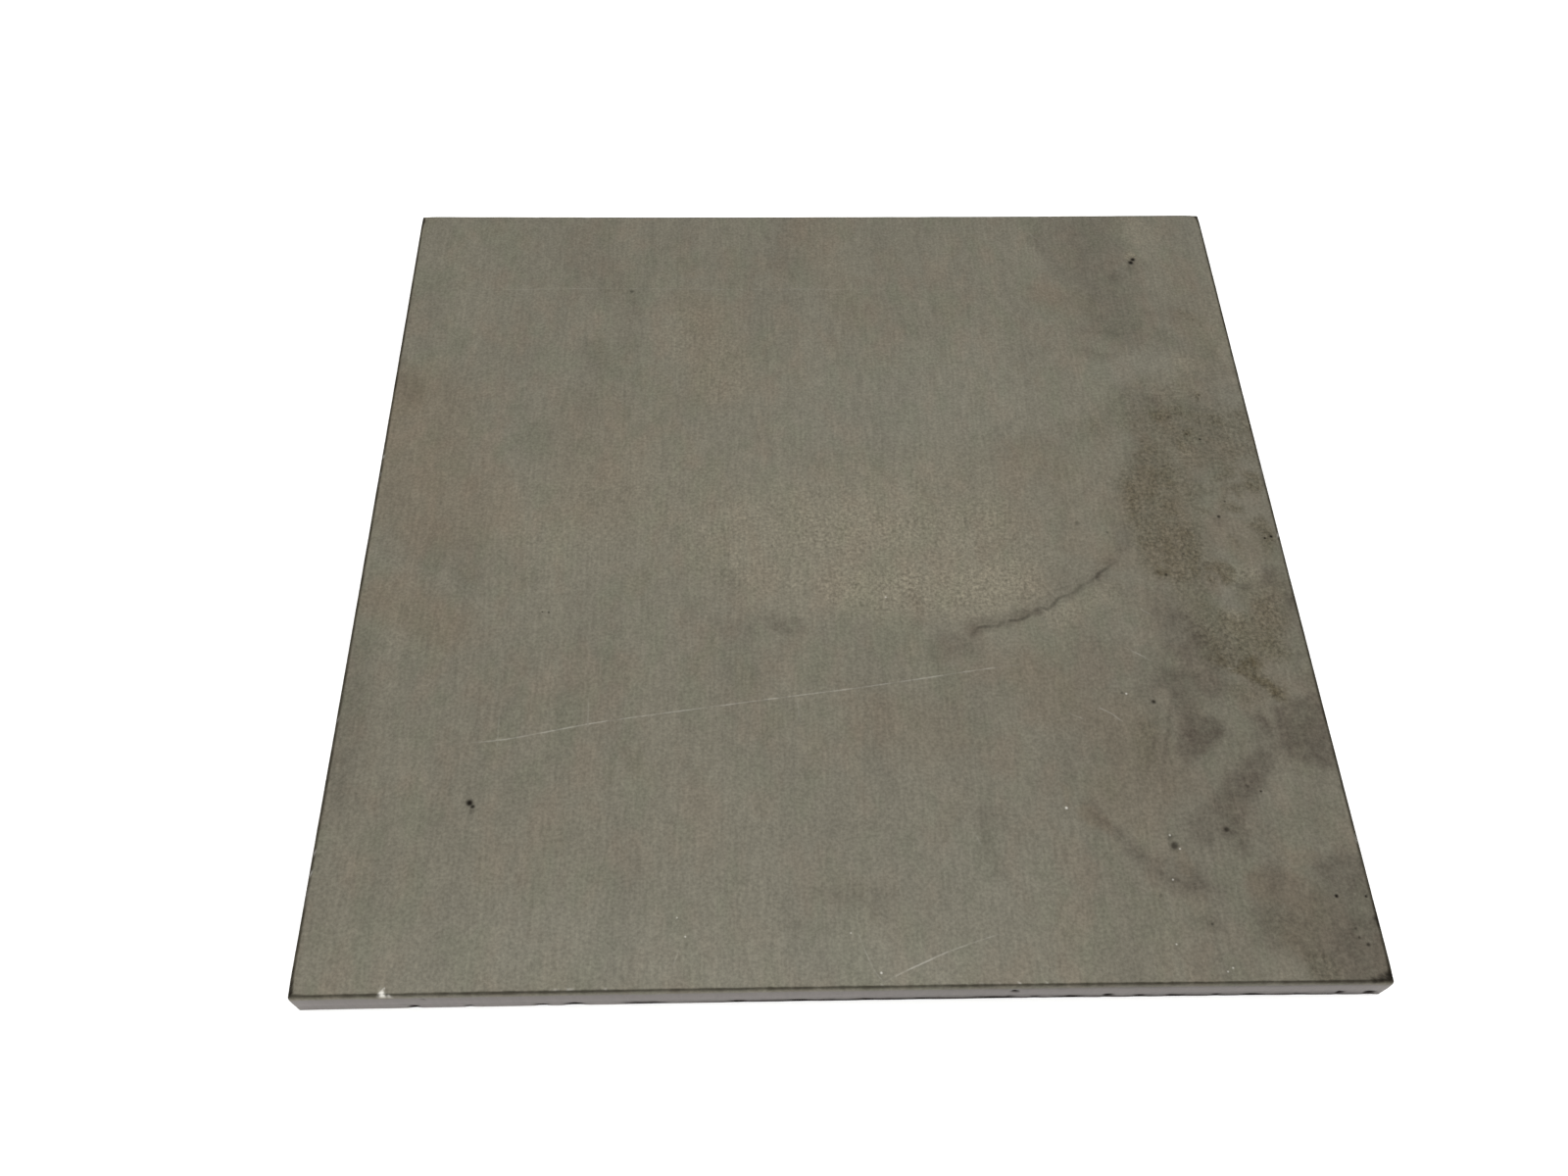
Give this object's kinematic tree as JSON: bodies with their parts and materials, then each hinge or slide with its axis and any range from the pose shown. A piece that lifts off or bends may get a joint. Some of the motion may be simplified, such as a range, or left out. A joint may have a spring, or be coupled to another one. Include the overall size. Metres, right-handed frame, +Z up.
{
  "type": "steel plate",
  "caption": "Flat square of bare hot-rolled steel plate with sheared edges, raw stock to cut, weld, drill or bolt to.",
  "frame": {"origin": "middle of the underside, the face that the plate lies on", "axes": "+Z up through the thickness, towards the stained top face; +Y along the rolling direction, away from the viewer of the picture; +X to that viewer's right"},
  "size_m": [0.15, 0.15, 0.006],
  "materials": {
    "mill_steel": "matt hot-rolled steel, faintly grained along the rolling direction, with handling stains and light surface rust"
  },
  "bodies": {
    "root": {"steel_plate": "mill_steel"}
  },
  "joints": []
}
